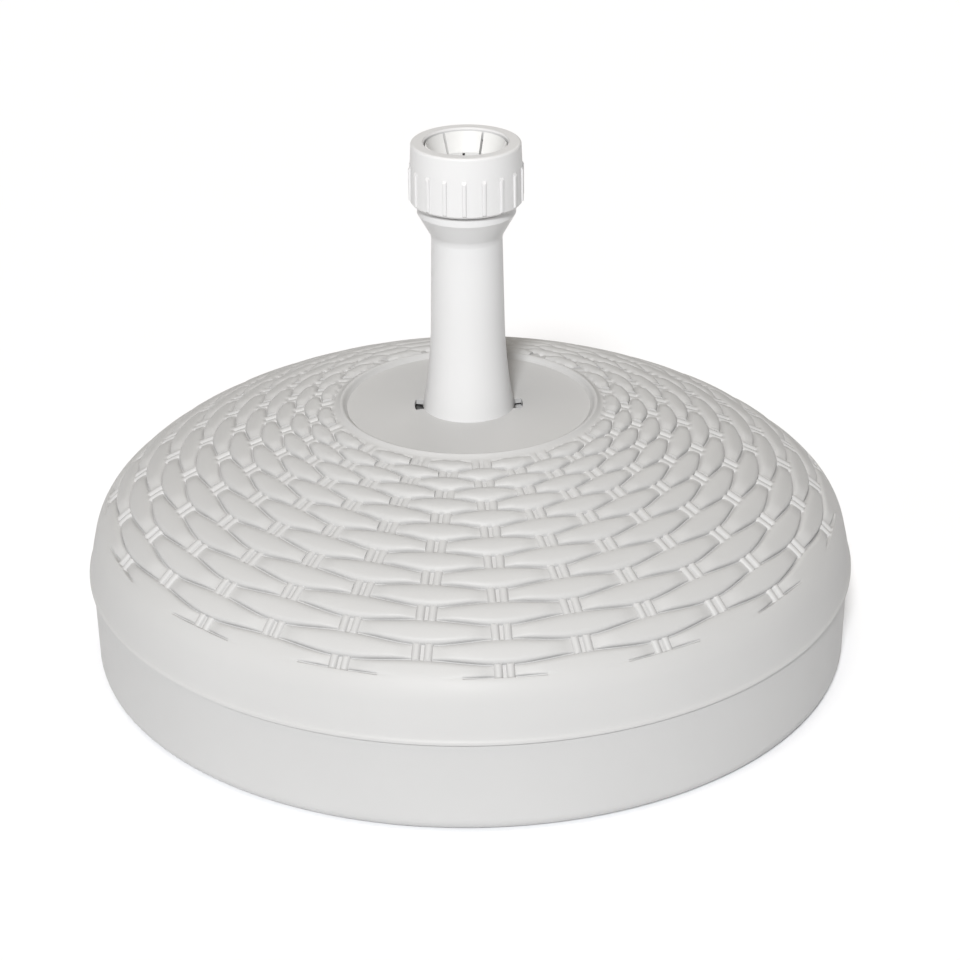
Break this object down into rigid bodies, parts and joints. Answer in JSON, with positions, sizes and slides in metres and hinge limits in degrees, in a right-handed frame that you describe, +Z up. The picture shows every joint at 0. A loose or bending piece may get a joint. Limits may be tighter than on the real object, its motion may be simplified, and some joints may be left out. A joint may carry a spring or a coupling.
{
  "type": "parasol base",
  "caption": "Round fillable parasol base with a domed woven-pattern cover, an upright pole tube and a screw clamp.",
  "frame": {"origin": "centre of the underside, on the ground", "axes": "+Z up along the pole, -Y towards the front, +Y towards the filler cap"},
  "size_m": [0.501, 0.501, 0.3441],
  "materials": {
    "tub_plastic": "moulded satin plastic",
    "cover_plastic": "moulded satin plastic with a woven relief",
    "tube_plastic": "semi-gloss moulded plastic",
    "nut_plastic": "semi-gloss moulded plastic",
    "collet_plastic": "smooth unfilled plastic",
    "cap_plastic": "moulded satin plastic",
    "seal_rubber": "soft black rubber"
  },
  "bodies": {
    "base": {"base_tub": "tub_plastic", "top_cover": "cover_plastic", "tube_socket": "tub_plastic", "socket_seal": "seal_rubber", "rim_seal": "seal_rubber"},
    "tube": {"stand_tube": "tube_plastic"},
    "collet": {"clamp_collet": "collet_plastic"},
    "nut": {"clamp_nut": "nut_plastic"},
    "washer": {"cap_seal": "seal_rubber"},
    "cap": {"filler_cap": "cap_plastic"}
  },
  "joints": [
    {"name": "tube_turn", "type": "hinge", "parent": "base", "child": "tube", "pos_m": [0, 0, 0.1668], "axis": [0, 0, 1], "range_deg": [0, 90]},
    {"name": "collet_slide", "type": "slide", "parent": "tube", "child": "collet", "axis": [0, 0, 1], "range_m": [-0.0051, 0.0026]},
    {"name": "nut_turn", "type": "hinge", "parent": "collet", "child": "nut", "pos_m": [0, 0, 0.325], "axis": [0, 0, 1], "range_deg": [-360, 180]},
    {"name": "cap_rise", "type": "slide", "parent": "base", "child": "washer", "axis": [0, 0, 1], "range_m": [0, 0.0076]},
    {"name": "cap_turn", "type": "hinge", "parent": "washer", "child": "cap", "pos_m": [0, 0.0585, 0.168], "axis": [0, 0, 1], "range_deg": [0, 900]}
  ],
  "couplings": [
    {"joint": "collet_slide", "follows": "nut_turn", "m_per_rad": 0.00079577},
    {"joint": "cap_rise", "follows": "cap_turn", "m_per_rad": 0.00047746}
  ]
}
